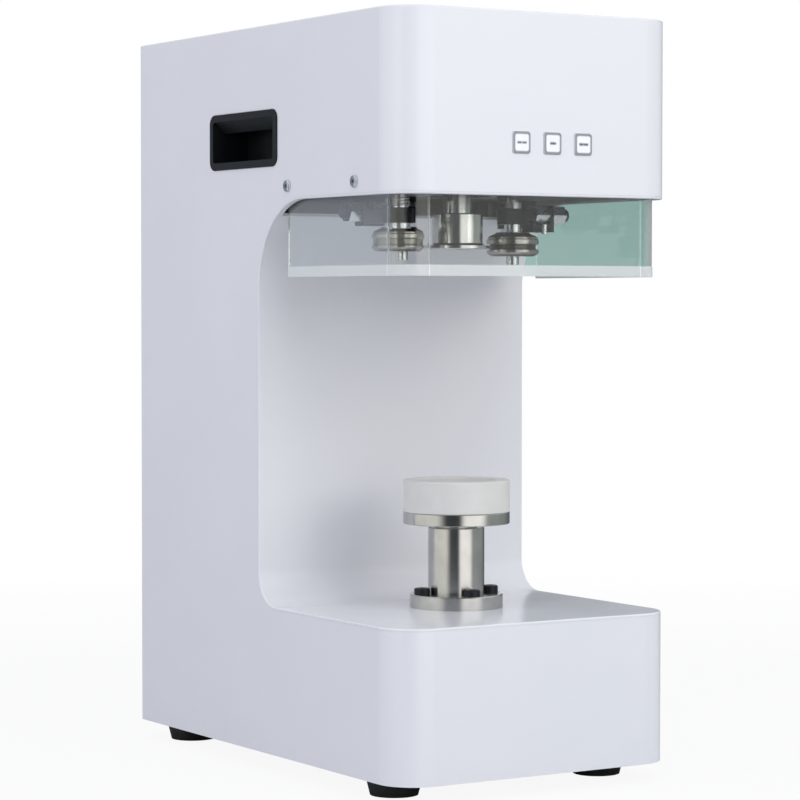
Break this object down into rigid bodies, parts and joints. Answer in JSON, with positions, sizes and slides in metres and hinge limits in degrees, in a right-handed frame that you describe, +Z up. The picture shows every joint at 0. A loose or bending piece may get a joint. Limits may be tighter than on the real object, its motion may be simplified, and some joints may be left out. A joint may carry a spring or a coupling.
{
  "type": "can seamer",
  "caption": "Desktop can seamer: folded white casing with a deep throat, keyed head with a clear guard over chuck and seaming rollers, and a lift post with a turning can seat.",
  "frame": {"origin": "centre of the bounding box's underside, on the table under the rubber feet", "axes": "+Z up; the head, the keys and the throat's mouth face -Y; +X is the operator's right"},
  "size_m": [0.2654, 0.4394, 0.609],
  "materials": {
    "white_paint": "satin",
    "zinc_sheet": "satin",
    "black_rubber": "matte",
    "black_plastic": "matte",
    "rocker_plastic": "gloss",
    "clear_acrylic": "gloss",
    "key_plastic": "satin",
    "board": "satin",
    "black_plate": "matte",
    "black_screws": "satin",
    "bright_screws": "gloss",
    "motor_black": "satin",
    "supply_case": "satin",
    "aluminium": "satin",
    "turned_steel": "satin",
    "hard_chrome": "gloss",
    "dark_steel": "satin",
    "bright_steel": "satin",
    "bronze": "satin",
    "white_nylon": "satin"
  },
  "bodies": {
    "housing": {"casing_shell": "white_paint", "throat_liner": "white_paint", "top_cover": "white_paint", "rear_cover": "white_paint", "case_screws": "bright_screws", "base_tray": "zinc_sheet", "rubber_feet": "black_rubber", "handle_cups": "black_plastic", "head_plate": "black_plate", "column_frame": "zinc_sheet", "deck_frame": "zinc_sheet", "guard": "clear_acrylic", "guard_screws": "bright_screws", "control_board": "board", "spindle_housing": "black_plate", "spindle_bearings": "turned_steel", "main_motor": "motor_black", "main_belt": "black_rubber", "cam_motor": "motor_black", "cam_belt": "black_rubber", "lift_post": "turned_steel", "cap_screws": "black_screws", "lift_motor": "motor_black", "power_inlet": "black_plastic", "power_supply": "supply_case", "pivot_bushes": "bronze"},
    "spindle": {"spindle_shaft": "turned_steel", "seaming_chuck": "hard_chrome", "spindle_pulley": "aluminium"},
    "main_rotor": {"motor_pulley": "aluminium"},
    "cam_ring": {"cam_ring": "turned_steel"},
    "cam_rotor": {"cam_motor_pulley": "aluminium"},
    "arm_1": {"arm_1_swing_arm": "dark_steel", "arm_1_roller_holder": "dark_steel", "arm_1_roller_pin": "bright_steel", "arm_1_adjuster": "bright_steel", "arm_1_pivot_shaft": "bright_steel", "arm_1_cam_lever": "dark_steel", "arm_1_cam_follower": "bright_steel", "arm_1_spring": "bright_steel"},
    "arm_2": {"arm_2_swing_arm": "dark_steel", "arm_2_roller_holder": "dark_steel", "arm_2_roller_pin": "bright_steel", "arm_2_adjuster": "bright_steel", "arm_2_pivot_shaft": "bright_steel", "arm_2_cam_lever": "dark_steel", "arm_2_cam_follower": "bright_steel", "arm_2_spring": "bright_steel"},
    "roller_1": {"roller_1": "hard_chrome"},
    "roller_2": {"roller_2": "hard_chrome"},
    "lift": {"lift_plunger": "turned_steel", "lift_nut": "bronze", "table_bearing": "turned_steel"},
    "turntable": {"table_disc": "turned_steel", "can_seat": "white_nylon"},
    "lift_screw": {"lead_screw": "turned_steel"},
    "key_1": {"key_1": "key_plastic"},
    "key_2": {"key_2": "key_plastic"},
    "key_3": {"key_3": "key_plastic"},
    "rocker": {"power_rocker": "rocker_plastic"}
  },
  "joints": [
    {"name": "spindle_spin", "type": "hinge", "parent": "housing", "child": "spindle", "pos_m": [0, -0.095, 0.48], "axis": [0, 0, 1], "continuous": true},
    {"name": "motor_spin", "type": "hinge", "parent": "housing", "child": "main_rotor", "pos_m": [0, 0.14, 0.5], "axis": [0, 0, 1], "continuous": true},
    {"name": "cam_turn", "type": "hinge", "parent": "housing", "child": "cam_ring", "pos_m": [0, -0.095, 0.5], "axis": [0, 0, 1], "range_deg": [-40, 40]},
    {"name": "cam_motor_turn", "type": "hinge", "parent": "housing", "child": "cam_rotor", "pos_m": [-0.055, 0.038, 0.5], "axis": [0, 0, 1], "range_deg": [-130, 130]},
    {"name": "arm_1_swing", "type": "hinge", "parent": "housing", "child": "arm_1", "pos_m": [0.088, -0.043, 0.46], "axis": [0, 0, 1], "range_deg": [-6.1, 6.1]},
    {"name": "arm_2_swing", "type": "hinge", "parent": "housing", "child": "arm_2", "pos_m": [-0.088, -0.147, 0.46], "axis": [0, 0, 1], "range_deg": [-6.1, 6.1]},
    {"name": "roller_1_spin", "type": "hinge", "parent": "arm_1", "child": "roller_1", "pos_m": [0.054, -0.095, 0.432], "axis": [0, 0, 1], "continuous": true},
    {"name": "roller_2_spin", "type": "hinge", "parent": "arm_2", "child": "roller_2", "pos_m": [-0.054, -0.095, 0.435], "axis": [0, 0, 1], "continuous": true},
    {"name": "lift_slide", "type": "slide", "parent": "housing", "child": "lift", "axis": [0, 0, 1], "range_m": [0, 0.06]},
    {"name": "screw_turn", "type": "hinge", "parent": "housing", "child": "lift_screw", "pos_m": [0, -0.095, 0.12], "axis": [0, 0, 1], "range_deg": [-1085, 0]},
    {"name": "table_spin", "type": "hinge", "parent": "lift", "child": "turntable", "pos_m": [0, -0.095, 0.21], "axis": [0, 0, 1], "continuous": true},
    {"name": "key_1_press", "type": "slide", "parent": "housing", "child": "key_1", "axis": [0, 1, 0], "range_m": [0, 0.0006], "stiffness_N_per_m": 1500, "springref_m": -0.0003},
    {"name": "key_2_press", "type": "slide", "parent": "housing", "child": "key_2", "axis": [0, 1, 0], "range_m": [0, 0.0006], "stiffness_N_per_m": 1500, "springref_m": -0.0003},
    {"name": "key_3_press", "type": "slide", "parent": "housing", "child": "key_3", "axis": [0, 1, 0], "range_m": [0, 0.0006], "stiffness_N_per_m": 1500, "springref_m": -0.0003},
    {"name": "power_rocker_tip", "type": "hinge", "parent": "housing", "child": "rocker", "pos_m": [0.07, 0.2165, 0.0845], "axis": [1, 0, 0], "range_deg": [-16, 0]}
  ],
  "couplings": [
    {"joint": "motor_spin", "follows": "spindle_spin", "ratio": 1.5},
    {"joint": "cam_motor_turn", "follows": "cam_turn", "ratio": 3.1833},
    {"joint": "arm_1_swing", "follows": "cam_turn", "ratio": -0.15},
    {"joint": "arm_2_swing", "follows": "cam_turn", "ratio": 0.15},
    {"joint": "screw_turn", "follows": "lift_slide", "rad_per_m": -314.16}
  ]
}
